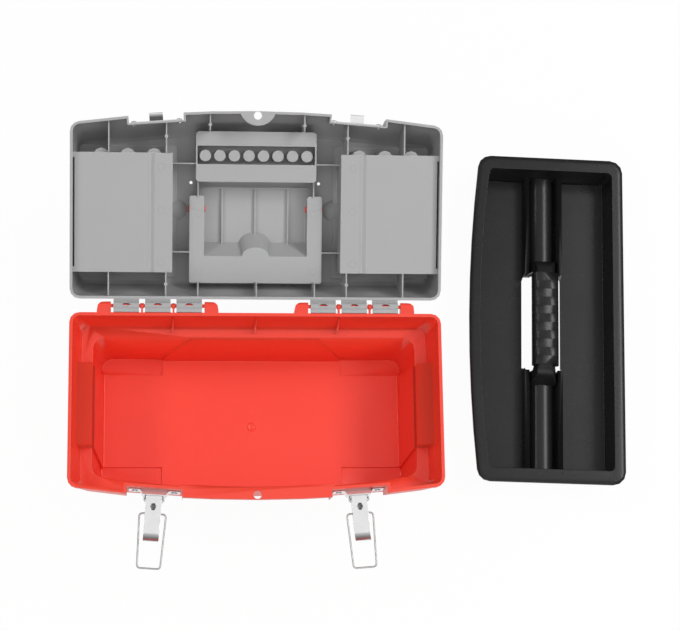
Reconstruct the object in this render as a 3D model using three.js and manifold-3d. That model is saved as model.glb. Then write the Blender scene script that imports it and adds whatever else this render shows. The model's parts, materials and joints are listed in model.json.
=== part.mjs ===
// A 16-inch plastic toolbox with a lift-out tray, open, with the tray laid beside it.
// Millimetres, +Z up. X runs along the box, the latches face -Y, and the origin is on
// the floor under the middle of the base.
import * as THREE from "three";
import { mergeVertices } from "three/addons/utils/BufferGeometryUtils.js";
import Module from "manifold-3d";

const wasm = await Module();
wasm.setup();

// ---- Overall sizes ----------------------------------------------------------------
const boxLength = 410;
const boxWidth = 194; // at the ends, before the bow of the front
const frontBow = 14;
const rimRadius = 11;
const baseHeight = 132;
const lidHeight = 62;
const lidGap = 0.5; // between the two rims when the lid is shut
const lidOpenAngle = 162;

// ---- Base -------------------------------------------------------------------------
const baseWall = 3;
const baseRimWall = 3.6;
const baseRimBand = 6; // height of the thick band round the rim
const ledgeDrop = 43; // from the rim to the ledge round the inside
const ledgeEndInset = 25; // from the rim's outside to the ledge's inner edge
const ledgeSideInset = 18;
const upperEndLean = 9; // how far the walls above the ledge lean in
const upperSideLean = 2.5;
const lowerEndLean = 7.5; // and the walls below it
const lowerSideLean = 5.5;
const lowerRadius = 13;
const floorThickness = 3.6;
const footHeight = 2;
const footRound = 2;
const panelDepth = 2.5; // the middle of each lower wall stands in from its corners
const sidePanelTopHalf = 70.5;
const sidePanelFootHalf = 104.7;
const endPanelTopHalf = 46;
const endPanelFootHalf = 54.3;
const shelfDrop = 22; // from the rim to the shelf at each end that carries the tray
const lipDepth = 11.2; // padlock lip along the middle of the front
const lipThickness = 3.6;
const lipSkirt = 9;
const lipSkirtWall = 2.2;
const gussetSpacing = 92;
const gussetThickness = 2;
const gussetReach = 8.5;
const gussetTopReach = 1.5;
const padlockHole = 9;
const padlockInset = 5.6; // from the front edge to the padlock hole

// ---- Hinges -----------------------------------------------------------------------
const hingeOffset = 7.5; // from the back rim to the hinge axis
const hingeGroupCentre = 108.5;
const hingeRod = 4;
const hingeEarWidth = 15.3;
const hingeEarRadius = 4.6;
const hingeEarCorner = 10;
const hingeWebSpacing = 34.5;
const hingeWebThickness = 2;
const hingeBossRadius = 3;
const hingeBossWidth = 4;
const hingeWebWall = 0.8; // of each web round the rod
const knuckleWidth = 28;
const knuckleClearance = 0.4; // round the rod
const knuckleWall = 1.9;
const knuckleArmRise = 9; // foot of the knuckle's arm on the lid, above the lid's rim
const mouthShare = 0.8; // opening of the snap mouth as a share of the rod
const mouthAngle = 45; // direction of the mouth when the lid is shut, up from +Y
const stopThickness = 3;
const hingeSideGap = 0.8; // between an ear and the knuckle beside it
const pivotGap = 0.2;
const windowFoot = 10; // the little window over the rod in each knuckle
const windowHead = 5;
const windowHeight = 2.4;

// ---- Lid --------------------------------------------------------------------------
const lidWall = 1.8;
const lidRimWall = 3;
const lidRimBand = 5;
const lidBandStep = 1.2;
const lidShoulder = 18; // height where the walls start to lean in
const lidEndLean = 6;
const lidBackLean = 12;
const lidFrontLean = 23;
const lidEdgeRound = 3.5;
const lidSkinSteps = 3;
const ribThickness = 1.4;
const ribClearance = 6; // from the rim up to the lower edge of the long ribs
const ribFromEnd = 42;
const ribFromWell = 7; // how far the inner ribs stand out from a well's inner wall
const crossRibFront = 52;
const crossRibBack = 46.5;
const crossRibLift = 3; // of the short ribs above the bit block's floor
const sideRibInset = 2.5;
const frontRibInset = 15;
const panelRibSpacing = 37;
const panelRibDepth = 6; // below the deck
const panelRibFront = 25; // from the middle of the lid to the front rib of the panel
const nubRadius = 2;
const wellNubFront = 18;
const wellNubBack = 13;
const bitNubFront = 7;
const pegHole = 3.6;
const pegHoleSpan = 144;
const pegHoleFromBlock = 1.5;
const padlockPocketRadius = 19;
const padlockPocketReach = 15;
const padlockPocketFloor = 4;

// ---- Organiser wells and covers -----------------------------------------------------
const wellInner = 93;
const wellOuter = 191.5; // inside face of the well's outer wall
const wellFront = 63.5;
const wellBack = 68;
const wellFloorHeight = 8; // above the lid's rim
const wellWall = 1.5;
const wellRadius = 3;
const slotWidth = 1.8;
const slotDepth = 16;
const slotInset = 6; // from the well's corners
const foldFromEnd = 88; // from the lid's end to the fold that parts a well's floor in two
const foldWidth = 8.6;
const foldHeight = 2.2;
const scoopRadius = 9;
const scoopSpacing = 29;
const scoopReach = 5;
const scoopFloor = 14;
const scoopSides = 10;
const coverThickness = 2.2;
const coverGap = 0.5;
const coverBorder = 2.6; // seat of the cover round the well
const coverPin = 2;
const coverPinReach = 3;
const coverPinInset = 3;
const coverPinClearance = 0.25;
const coverSkirt = 4;
const coverSkirtWall = 1.4;
const coverSkirtInset = 10; // from the well's outer wall, so that the cover can turn
const thumbRadius = 9.5;
const thumbFlatness = 0.6;
const thumbOffset = 5.5; // from the well's inner wall to the middle of the thumb dip

// ---- Bit holder ---------------------------------------------------------------------
const bitBlockHalf = 67;
const bitBlockFront = 88;
const bitBlockBack = 32;
const bitBlockCorner = 4;
const bitBlockFloor = 30; // above the lid's rim
const bitChannelFront = 72;
const bitChannelBack = 51.5;
const bitBarTop = 8; // below the deck
const bitCount = 8;
const bitPitch = 16.2;
const bitRow = 61;
const bitCupRadius = 6.6;
const bitCupSides = 10;
const bitHoleRadius = 4;
const bitHoleSides = 6;
const bitCupFloor = 34;
const bitWall = 1.5;

// ---- Carry handle and its well ------------------------------------------------------
const handleWellHalf = 74;
const handleArmWidth = 16.5; // outside width of each arm of the well
const handleWellFront = 16.4;
const handleWellBar = 51;
const handleWellBack = 81;
const handleWellDraft = 16; // how far the bar's front wall runs out towards the deck
const handleWellCorner = 2.5;
const handleStepRise = 2; // the floor of each arm is shallower round the pivot
const handleStepFront = 3.4; // where its slope ends, forward of the middle
const handleStepBack = 1; // and where it starts, behind the middle
const handleWellFloor = 33; // above the lid's rim
const handleWellWall = 1.6;
const handlePivotFront = 1.4;
const handlePivotHeight = 48.5;
const handlePivotRadius = 3.4;
const handleClearance = 0.9;
const handleDrop = 2; // from the deck down to the folded handle
const handleArmDepth = 14;
const handleBarDepth = 19;
const handleWall = 2.6;
const handleCorner = 5;
const handleBarCorner = 6;
const handleBarDrop = 3; // how far the bar reaches below its arms
const pivotProud = 1.6; // the pivot stubs show this far through the well's walls
const pivotClearance = 0.5;
const fingerHalf = 15;
const fingerReach = 10;
const fingerFlare = 2.5;

// ---- Latches ------------------------------------------------------------------------
const latchCentre = 111;
const latchPocketWidth = 60.5;
const latchPocketDepth = 9.5;
const latchPivotDrop = 20; // below the base's rim
const latchPivotOut = 9.8; // out from the pocket wall
const sheet = 1.1; // latch metal
const metalGap = 0.3;
const bracketWidth = 56;
const bracketHeight = 17;
const bracketRivetSpan = 43;
const bulgeHalf = 12.5;
const bulgeOut = 5;
const bulgeFlare = 3.2;
const cheekHalf = 9; // inside face of each pivot cheek
const cheekRadius = 3.6;
const latchPinRadius = 1.2;
const latchPinHead = 2.1;
const latchPinHeadLength = 1;
const pinClearance = 0.2;
const leverWidth = 17;
const leverLength = 47;
const leverWeb = 4.6; // from the pivot out to the web
const leverFlange = 8;
const leverLip = 4.5;
const leverNose = 3.4;
const leverBend = 10; // length of web over which the lip curls out
const leverTaper = 1.6;
const leverHoleLong = 8.8;
const leverHoleWide = 6.4;
const leverHoleDrop = 8.7;
const bailDrop = 15.5; // from the lever's pivot to the bail's
const bailIn = 1.4;
const bailLength = 60;
const bailWire = 2;
const bailTopWidth = 31;
const bailEndWidth = 27;
const bailBend = 3.5;
const bailTail = 2.6; // reach of the wire's ends into the lever
const bailBore = 2.7;
const wireSides = 6;
const hookReach = 9.6;
const hookWidth = 15;
const hookLip = 5;
const hookChamfer = 0.6;
const strikeWidth = 57;
const strikeHeight = 15;
const strikeRivetSpan = 50;
const strikeLift = 2.5; // of the rivets above the hook
const rivetHead = 6.6;
const rivetShank = 3;
const rivetBore = 3.5;
const rivetDome = 1.4;
const rivetFoot = 0.8; // thickness of the flat head inside
const rivetSides = 8;

// ---- Tray ---------------------------------------------------------------------------
const trayEndClearance = 2.8; // from the flange to the end walls where it lies on the shelves
const traySideClearance = 1; // from the flange to the gussets and to the wall under the lip
const trayBodyClearance = 0.8; // from the body to the ledge's inner edge at each end
const trayBow = 10.5;
const trayHeight = 44;
const trayRadius = 15;
const trayFlange = 13.5;
const trayFlangeSlope = 5.5;
const trayFlangeFall = 1.2;
const trayFlangeSkirt = 5;
const trayFlangeThickness = 2.4;
const trayFlangeRound = 1.2;
const trayWall = 2.6;
const trayLean = 2.5;
const trayFloor = 3;
const trayInnerRadius = 5;
const trayFootRound = 1.5;
const trayStandOff = 45; // from the box to the tray that stands beside it
const trayPlaceY = 115.4;
const trayTurn = 2;
const railCentre = 19.4;
const railWidth = 6;
const railHeight = 21;
const railDraft = 0.6;
const tunnelHalf = 15.5;
const tunnelHeight = 15;
const gripLength = 110;
const gripHalf = 15.5;
const gripTop = 42;
const gripDepth = 15;
const gripBands = 11;
const gripChamfer = 2.5;
const gripSway = 4; // how far each band's crown sits to one side
const towerLength = 17;
const towerFoot = 3;
const towerInset = 4;
const fingerSlotLength = 116;
const fingerSlotPoint = 6;

// ---- Derived places -----------------------------------------------------------------
const halfLength = boxLength / 2;
const halfWidth = boxWidth / 2;
const ledgeZ = baseHeight - ledgeDrop;
const shelfZ = baseHeight - shelfDrop;
const lidZ = baseHeight + lidGap;
const deckZ = lidZ + lidHeight;
const hingeY = halfWidth + hingeOffset;
const hingeZ = baseHeight;
const latchPivotZ = baseHeight - latchPivotDrop;
const knuckleBore = hingeRod + 2 * knuckleClearance;
const knuckleRadius = knuckleBore / 2 + knuckleWall;
const far = 2 * boxLength; // longer than anything that it cuts
const rad = THREE.MathUtils.degToRad;
const sidePair = (side, a, b) => [side * a, side * b].sort((low, high) => low - high);

// ---- Materials ----------------------------------------------------------------------
const plastic = (color, roughness) => new THREE.MeshStandardMaterial({ color, roughness, metalness: 0 });
const redPlastic = plastic(0xee4033, 0.42);
const greyPlastic = plastic(0xa9a9ab, 0.5);
const blackPlastic = plastic(0x2b2b2d, 0.4);
const nickel = new THREE.MeshStandardMaterial({ color: 0xd5d5d8, roughness: 0.22, metalness: 1 });

// ---- Solids -------------------------------------------------------------------------
function solid(geometry) {
  const bare = geometry.clone();
  bare.deleteAttribute("normal");
  bare.deleteAttribute("uv");
  const merged = mergeVertices(bare, 1e-4);
  return new wasm.Manifold(
    new wasm.Mesh({
      numProp: 3,
      vertProperties: new Float32Array(merged.attributes.position.array),
      triVerts: new Uint32Array(merged.index.array),
    }),
  );
}

function geometryOf(part) {
  const mesh = part.getMesh();
  const geometry = new THREE.BufferGeometry();
  geometry.setAttribute("position", new THREE.BufferAttribute(mesh.vertProperties, 3));
  geometry.setIndex(new THREE.BufferAttribute(mesh.triVerts, 1));
  return geometry;
}

const moved = (part, matrix) => solid(geometryOf(part).applyMatrix4(matrix));
const join = (...parts) => parts.reduce((sum, part) => sum.add(part));
const cut = (body, ...tools) => tools.reduce((rest, tool) => rest.subtract(tool), body);

function box(x0, x1, y0, y1, z0, z1) {
  const geometry = new THREE.BoxGeometry(x1 - x0, y1 - y0, z1 - z0);
  return solid(geometry.translate((x0 + x1) / 2, (y0 + y1) / 2, (z0 + z1) / 2));
}

// Extrusions of a profile along one axis. The profile's own axes are the other two:
// (y, z) along X, (x, z) along Y and (x, y) along Z.
function extrude(shape, length) {
  return new THREE.ExtrudeGeometry(shape, { depth: length, bevelEnabled: false, curveSegments: 3 });
}

const axesAlongX = new THREE.Matrix4().makeBasis(
  new THREE.Vector3(0, 1, 0),
  new THREE.Vector3(0, 0, 1),
  new THREE.Vector3(1, 0, 0),
);
const axesAlongY = new THREE.Matrix4().makeBasis(
  new THREE.Vector3(1, 0, 0),
  new THREE.Vector3(0, 0, 1),
  new THREE.Vector3(0, -1, 0),
);
const alongX = (shape, x0, x1) =>
  solid(extrude(shape, x1 - x0).applyMatrix4(axesAlongX).translate(x0, 0, 0));
const alongY = (shape, y0, y1) =>
  solid(extrude(shape, y1 - y0).applyMatrix4(axesAlongY).translate(0, y1, 0));
const alongZ = (shape, z0, z1) => solid(extrude(shape, z1 - z0).translate(0, 0, z0));

const polygon = (...corners) => new THREE.Shape(corners.map(([a, b]) => new THREE.Vector2(a, b)));

function roundedRectangle(a0, a1, b0, b1, radius) {
  const shape = new THREE.Shape();
  shape.absarc(a1 - radius, b1 - radius, radius, 0, Math.PI / 2);
  shape.absarc(a0 + radius, b1 - radius, radius, Math.PI / 2, Math.PI);
  shape.absarc(a0 + radius, b0 + radius, radius, Math.PI, 1.5 * Math.PI);
  shape.absarc(a1 - radius, b0 + radius, radius, 1.5 * Math.PI, 2 * Math.PI);
  return shape;
}

function rod(radius, x0, x1, y, z, sides = 16) {
  const geometry = new THREE.CylinderGeometry(radius, radius, x1 - x0, sides);
  return solid(geometry.rotateZ(Math.PI / 2).translate((x0 + x1) / 2, y, z));
}

function post(radius, x, y, z0, z1, sides = 16) {
  const geometry = new THREE.CylinderGeometry(radius, radius, z1 - z0, sides);
  return solid(geometry.rotateX(Math.PI / 2).translate(x, y, (z0 + z1) / 2));
}

// A wire of round section along points in the XZ plane, mitred at each of them.
function wire(path, radius) {
  const positions = [];
  const index = [];
  path.forEach((here, i) => {
    const before = path[Math.max(i - 1, 0)];
    const after = path[Math.min(i + 1, path.length - 1)];
    const outgoing = (i < path.length - 1 ? after.clone().sub(here) : here.clone().sub(before)).normalize();
    const incoming = (i ? here.clone().sub(before) : outgoing.clone()).normalize();
    const along = incoming.add(outgoing).normalize();
    const mitre = radius / along.dot(outgoing);
    for (let k = 0; k < wireSides; k++) {
      const angle = ((k + 0.5) * 2 * Math.PI) / wireSides;
      const out = Math.cos(angle) * mitre;
      positions.push(here.x - along.y * out, Math.sin(angle) * radius, here.y + along.x * out);
      const next = (k + 1) % wireSides;
      const ring = i * wireSides;
      if (i) {
        const last = ring - wireSides;
        index.push(last + k, ring + k, ring + next, last + k, ring + next, last + next);
      }
      const fan = [ring, ring + k, ring + next];
      if (k && i === 0) index.push(...fan);
      if (k && i === path.length - 1) index.push(...fan.reverse());
    }
  });
  const geometry = new THREE.BufferGeometry();
  geometry.setAttribute("position", new THREE.Float32BufferAttribute(positions, 3));
  return solid(geometry.setIndex(index));
}

// ---- The bowed outline and lofts through it ---------------------------------------------
const cornerSteps = 3;
const bowSteps = 8;

// Straight back and ends, round corners, and a front that bows out towards -Y.
function bowedRing({ halfX, back, front, bow, radius }) {
  const points = [];
  const slope = Math.atan((2 * bow) / halfX);
  const corner = (x, y, from, to) => {
    for (let i = 0; i <= cornerSteps; i++) {
      const angle = from + ((to - from) * i) / cornerSteps;
      points.push(new THREE.Vector2(x + radius * Math.cos(angle), y + radius * Math.sin(angle)));
    }
  };
  corner(halfX - radius, back - radius, 0, Math.PI / 2);
  corner(radius - halfX, back - radius, Math.PI / 2, Math.PI);
  corner(radius - halfX, radius - front, Math.PI, 1.5 * Math.PI - slope);
  const end = points.at(-1).clone();
  const rise = (-end.x * Math.tan(slope)) / 2;
  for (let i = 1; i < bowSteps; i++) {
    const x = end.x * (1 - (2 * i) / bowSteps);
    points.push(new THREE.Vector2(x, end.y - rise * (1 - (x / end.x) ** 2)));
  }
  corner(halfX - radius, radius - front, 1.5 * Math.PI + slope, 2 * Math.PI);
  return points;
}

function loft(levels) {
  const rings = levels.map(bowedRing);
  const count = rings[0].length;
  const positions = rings.flatMap((ring, level) => ring.flatMap((p) => [p.x, p.y, levels[level].z]));
  const index = [];
  for (let level = 0; level + 1 < rings.length; level++)
    for (let i = 0; i < count; i++) {
      const here = level * count + i;
      const next = level * count + ((i + 1) % count);
      index.push(here, next, next + count, here, next + count, here + count);
    }
  const top = count * (rings.length - 1);
  for (const [a, b, c] of THREE.ShapeUtils.triangulateShape(rings[0], [])) index.push(c, b, a);
  for (const [a, b, c] of THREE.ShapeUtils.triangulateShape(rings.at(-1), []))
    index.push(top + a, top + b, top + c);
  const geometry = new THREE.BufferGeometry();
  geometry.setAttribute("position", new THREE.Float32BufferAttribute(positions, 3));
  geometry.setIndex(index);
  return solid(geometry);
}

// A level of a loft: a form, grown outwards by some distance, at a height.
const grown = (form, by) => ({
  halfX: form.halfX + by,
  back: form.back + by,
  front: form.front + by,
  bow: form.bow,
  radius: Math.max(form.radius + by, 1),
});
const level = (form, by, z) => ({ ...grown(form, by), z });
const upright = (form, by, z0, z1) => loft([level(form, by, z0), level(form, by, z1)]);

const rimForm = {
  halfX: halfLength,
  back: halfWidth,
  front: halfWidth,
  bow: frontBow,
  radius: rimRadius,
};

const frontAt = (x) => -halfWidth - frontBow * (1 - (x / halfLength) ** 2);

// ---- Latch frame: origin on the pocket wall, -Y straight out of the bowed front ---------
const latchTurn = Math.atan((2 * frontBow * latchCentre) / halfLength ** 2);
const latchWallY = frontAt(latchCentre) + latchPocketDepth;

function latchFrame(side) {
  const matrix = new THREE.Matrix4().makeRotationZ(side * latchTurn);
  return matrix.setPosition(side * latchCentre, latchWallY, 0);
}

const inLatchFrame = (part, side) => moved(part, latchFrame(side));

function latchPocket(side, extra, z0, z1) {
  const half = latchPocketWidth / 2 + extra;
  return inLatchFrame(box(-half, half, -far, extra, z0, z1), side);
}

// ---- Base shell -------------------------------------------------------------------------
const upperRimInside = grown(rimForm, -baseRimWall);
const upperFootInside = {
  halfX: halfLength - baseRimWall - upperEndLean,
  back: halfWidth - baseRimWall - upperSideLean,
  front: halfWidth - baseRimWall - upperSideLean,
  bow: frontBow,
  radius: rimRadius,
};
const lowerTopInside = {
  halfX: halfLength - ledgeEndInset,
  back: halfWidth - ledgeSideInset,
  front: halfWidth - ledgeSideInset,
  bow: frontBow,
  radius: lowerRadius,
};
const lowerFootInside = {
  halfX: lowerTopInside.halfX - lowerEndLean,
  back: lowerTopInside.back - lowerSideLean,
  front: lowerTopInside.front - lowerSideLean,
  bow: frontBow,
  radius: lowerRadius,
};

// The lower body between a foot height and a top height, with a rounded foot.
function lowerBody(by, footZ, topZ) {
  return loft([
    level(lowerFootInside, by - footRound, footZ),
    level(lowerFootInside, by - footRound * 0.3, footZ + footRound * 0.3),
    level(lowerFootInside, by, footZ + footRound),
    level(lowerTopInside, by, topZ),
  ]);
}

// What lies outside the tapered panels: the four corners that stand proud as feet.
function cornerZone(inset) {
  const foot = -floorThickness;
  const taper = (topHalf, footHalf) => {
    const rise = (footHalf - topHalf) / ledgeZ;
    const footWide = footHalf - inset - rise * foot;
    const topWide = footHalf - inset - rise * (ledgeZ + baseWall);
    return polygon(
      [-footWide, foot],
      [footWide, foot],
      [topWide, ledgeZ + baseWall],
      [-topWide, ledgeZ + baseWall],
    );
  };
  return cut(
    box(-far, far, -far, far, foot, ledgeZ + baseWall),
    alongY(taper(sidePanelTopHalf, sidePanelFootHalf), -far, far),
    alongX(taper(endPanelTopHalf, endPanelFootHalf), -far, far),
  );
}

function baseOutside() {
  const upper = loft([
    level(upperFootInside, baseWall, ledgeZ - baseWall),
    level(upperRimInside, baseWall, baseHeight - baseRimBand),
    level(rimForm, 0, baseHeight - baseRimBand),
    level(rimForm, 0, baseHeight),
  ]);
  const middle = lowerBody(baseWall - panelDepth, footHeight, ledgeZ);
  const corners = lowerBody(baseWall, 0, ledgeZ).intersect(cornerZone(baseWall));
  let body = join(upper, middle, corners);
  for (const side of [-1, 1]) {
    body = cut(body, latchPocket(side, 0, footHeight, far));
    // Finger room under the shelf at each end.
    const reach = endPanelTopHalf - baseWall;
    const wallX = lowerTopInside.halfX + baseWall;
    const x = sidePair(side, wallX, far);
    body = cut(body, box(...x, -reach, reach, ledgeZ - baseWall - footRound, shelfZ - baseWall));
  }
  // Under the padlock lip the front wall is set back, and the lip keeps a skirt.
  const half = latchCentre - latchPocketWidth / 2;
  const lipUnder = baseHeight - lipThickness;
  const setBack = upright(rimForm, -lipDepth, 0, far);
  const room = box(-half, half, -far, 0, ledgeZ - 2 * baseWall, lipUnder);
  const skirtFoot = baseHeight - lipSkirt;
  const behindSkirt = upright(rimForm, -lipSkirtWall, skirtFoot, lipUnder);
  const below = box(-far, far, -far, far, 0, skirtFoot);
  return cut(body, room.subtract(setBack).intersect(join(behindSkirt, below)));
}

function baseInside() {
  let upper = loft([
    level(upperFootInside, 0, ledgeZ),
    level(upperRimInside, 0, baseHeight),
    level(upperRimInside, 0, baseHeight + baseWall),
  ]);
  for (const side of [-1, 1]) {
    upper = cut(upper, latchPocket(side, baseWall, 0, far));
    const x = sidePair(side, lowerTopInside.halfX, far);
    upper = cut(upper, box(...x, -endPanelTopHalf, endPanelTopHalf, 0, shelfZ));
  }
  const half = latchCentre - latchPocketWidth / 2 + baseWall;
  const frontRoom = box(-half, half, -far, 0, 0, far);
  upper = cut(upper, frontRoom.subtract(upright(rimForm, -lipDepth - baseWall, 0, far)));
  const middle = lowerBody(-panelDepth, footHeight + floorThickness, ledgeZ + 0.01);
  const corners = lowerBody(0, floorThickness, ledgeZ + 0.01).intersect(cornerZone(0));
  return join(upper, middle, corners);
}

// The hinge ears, the webs and the rod that the lid's knuckles clip on to.
function baseHinges() {
  const halfGroup = hingeWebSpacing / 2 + hingeWebSpacing - hingeSideGap / 2;
  const arm = (radius) => {
    const shape = new THREE.Shape();
    shape.moveTo(halfWidth - baseRimWall, hingeZ - 2 * radius);
    shape.lineTo(hingeY - radius * 0.5, hingeZ - radius * 1.7);
    shape.absarc(hingeY, hingeZ, radius, -Math.PI / 4, Math.PI / 2 + 0.2);
    shape.lineTo(halfWidth - 0.2, hingeZ - 0.2);
    shape.lineTo(halfWidth - baseRimWall, hingeZ - 0.2);
    return shape;
  };
  const parts = [];
  for (const side of [-1, 1]) {
    const centre = side * hingeGroupCentre;
    parts.push(
      rod(hingeRod / 2, centre - halfGroup - 1, centre + halfGroup + 1, hingeY, hingeZ),
    );
    for (const way of [-1, 1]) {
      const inner = centre + way * halfGroup;
      const outer = inner + way * hingeEarWidth;
      const ear = alongX(arm(hingeEarRadius), Math.min(inner, outer), Math.max(inner, outer));
      const plan = new THREE.Shape();
      const tip = hingeY + hingeEarRadius;
      plan.moveTo(inner, 0);
      plan.lineTo(inner, tip);
      plan.lineTo(outer - way * hingeEarCorner, tip);
      plan.quadraticCurveTo(outer, tip, outer, tip - hingeEarCorner);
      plan.lineTo(outer, 0);
      parts.push(ear.intersect(alongZ(plan, 0, far)));
      const web = centre + (way * hingeWebSpacing) / 2;
      const thick = hingeWebThickness / 2;
      parts.push(alongX(arm(hingeRod / 2 + hingeWebWall), web - thick, web + thick));
      const boss = hingeBossWidth / 2;
      parts.push(rod(hingeBossRadius, web - boss, web + boss, hingeY, hingeZ, 4));
    }
  }
  return join(...parts);
}

// Thin gussets between the back wall and the ledge, which keep the tray in place.
function baseGussets() {
  const wallY = halfWidth - baseRimWall;
  const shape = polygon(
    [wallY + 0.5, ledgeZ - 0.5],
    [wallY + 0.5, baseHeight - baseRimBand],
    [wallY - gussetTopReach, baseHeight - baseRimBand],
    [wallY - upperSideLean - gussetReach, ledgeZ - 0.5],
  );
  const half = gussetThickness / 2;
  const places = [-gussetSpacing, 0, gussetSpacing];
  return join(...places.map((x) => alongX(shape, x - half, x + half)));
}

function rivetBores(side, span, z) {
  const bores = [-1, 1].map((way) => {
    const geometry = new THREE.CylinderGeometry(rivetBore / 2, rivetBore / 2, 4 * baseWall, rivetSides);
    return solid(geometry.translate((way * span) / 2, 0, z));
  });
  return inLatchFrame(join(...bores), side);
}

const bracketRivetZ = latchPivotZ;

function makeBase() {
  let base = cut(baseOutside(), baseInside());
  base = join(base, baseHinges(), baseGussets());
  base = cut(base, post(padlockHole / 2, 0, frontAt(0) + padlockInset, shelfZ, far));
  for (const side of [-1, 1]) base = cut(base, rivetBores(side, bracketRivetSpan, bracketRivetZ));
  return base;
}

// ---- Lid shell, built shut --------------------------------------------------------------
// How far the lid's skin has leaned in at a height above its rim, from 0 to 1.
const lidLean = (height) => Math.max(0, (height - lidShoulder) / (lidHeight - lidShoulder)) ** 1.5;

function lidForm(height) {
  const lean = lidLean(height);
  return {
    halfX: halfLength - lidEndLean * lean,
    back: halfWidth - lidBackLean * lean,
    front: halfWidth - lidFrontLean * lean,
    bow: frontBow,
    radius: rimRadius,
  };
}

function lidSkin(by, topHeight, low) {
  const levels = [level(lidForm(0), by, lidZ + low)];
  const sideTop = topHeight - lidEdgeRound;
  for (let i = 0; i <= lidSkinSteps; i++) {
    const height = lidShoulder + ((sideTop - lidShoulder) * i) / lidSkinSteps;
    levels.push(level(lidForm(height), by, lidZ + height));
  }
  const edge = (share, drop) =>
    level(lidForm(topHeight), by - lidEdgeRound * share, lidZ + topHeight - lidEdgeRound * drop);
  levels.push(edge(0.3, 0.3), edge(1, 0));
  return loft(levels);
}

// The lid's solid form, with its skin pared away by some depth.
function lidBody(depth) {
  let body = lidSkin(-lidBandStep - depth, lidHeight - depth, -depth);
  for (const side of [-1, 1]) body = cut(body, latchPocket(side, depth, 0, far));
  const floor = depth ? 0 : lidZ + padlockPocketFloor;
  const middle = frontAt(0) + padlockPocketReach - padlockPocketRadius;
  return cut(body, post(padlockPocketRadius + depth, 0, middle, floor, far, 20));
}

function lidShell() {
  let band = upright(rimForm, 0, lidZ, lidZ + lidRimBand);
  band = cut(band, upright(rimForm, -lidRimWall / 2, 0, far));
  for (const side of [-1, 1]) band = cut(band, latchPocket(side, 0, 0, far));
  return cut(join(lidBody(0), band), lidBody(lidWall));
}

// Places of the three round scoops along the front of a well.
const scoopPlaces = (side) =>
  [-1, 0, 1].map((place) => side * ((wellInner + wellOuter) / 2 + place * scoopSpacing));
const scoopY = -wellFront + scoopRadius - scoopReach;

// One well: a block hanging from the deck under the cover's seat, and the room inside it.
function wellBlock(side) {
  const z0 = lidZ + wellFloorHeight;
  let block = box(...sidePair(side, wellInner, far), -wellFront, wellBack, z0, deckZ);
  for (const x of scoopPlaces(side)) {
    block = join(block, post(scoopRadius, x, scoopY, lidZ + scoopFloor, deckZ, scoopSides));
  }
  const margin = coverGap + lidWall;
  const seatBack = box(
    ...sidePair(side, coverInner - margin, far),
    coverFront - margin - coverPinReach, coverBack + margin + coverPinReach,
    coverSeatZ - lidWall, deckZ,
  );
  return join(cut(block, wellFold(side, 0)), seatBack);
}

// The fold in the floor of a well, as it is from inside the lid, or higher by some wall.
function wellFold(side, wall) {
  const x = side * (halfLength - foldFromEnd);
  const z = lidZ + wellFloorHeight + wall;
  const base = z - foldHeight / 2; // the fold's sides run on below the floor
  const half = (foldWidth / 2) * 1.5;
  return alongY(polygon([x - half, base], [x + half, base], [x, z + foldHeight]), -far, far);
}

function wellRoom(side) {
  const x = sidePair(side, wellInner + wellWall, wellOuter);
  const shape = roundedRectangle(...x, -wellFront + wellWall, wellBack - wellWall, wellRadius);
  let room = alongZ(shape, lidZ + wellFloorHeight + wellWall, far);
  for (const scoopX of scoopPlaces(side)) {
    const floor = lidZ + scoopFloor + wellWall;
    const top = coverSeatZ - lidWall;
    room = join(room, post(scoopRadius - wellWall, scoopX, scoopY, floor, top, scoopSides));
  }
  return cut(room, wellFold(side, wellWall));
}

// The cover's seat is sunk into the deck, and its end pins turn in bores beside it.
const coverInner = wellInner - coverBorder;
const coverOuter = wellOuter + coverBorder;
const coverFront = -wellFront - coverBorder;
const coverBack = wellBack + coverBorder;
const coverPinX = coverOuter - coverPinInset;
const coverPinZ = deckZ - coverThickness / 2;
const coverSeatZ = deckZ - coverThickness - metalGap;

function coverSeat(side) {
  const x = sidePair(side, coverInner - coverGap, coverOuter + coverGap);
  const y0 = coverFront - coverGap;
  const y1 = coverBack + coverGap;
  const seat = box(...x, y0, y1, coverSeatZ, deckZ + 1);
  const radius = coverPin / 2 + coverPinClearance;
  const bore = new THREE.CylinderGeometry(radius, radius, 1, 12);
  const reach = coverPinReach + 2 * coverGap;
  bore.scale(1, y1 - y0 + 2 * reach, 1);
  bore.translate(side * coverPinX, (y0 + y1) / 2, coverPinZ);
  return join(seat, solid(bore));
}

// The bit holder: two troughs with a bar of sockets between them.
function bitBlock() {
  const outside = roundedRectangle(
    -bitBlockHalf, bitBlockHalf, -bitBlockFront, -bitBlockBack, bitBlockCorner,
  );
  const channel = box(
    -bitBlockHalf + bitWall, bitBlockHalf - bitWall,
    -bitChannelFront, -bitChannelBack,
    lidZ, deckZ - bitBarTop - bitWall,
  );
  let block = cut(alongZ(outside, lidZ + bitBlockFloor, deckZ), channel);
  for (let i = 0; i < bitCount; i++) {
    const x = (i - (bitCount - 1) / 2) * bitPitch;
    const top = deckZ - bitBarTop - bitWall / 2;
    block = join(block, post(bitCupRadius, x, -bitRow, lidZ + bitCupFloor, top, bitCupSides));
  }
  return block;
}

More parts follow.
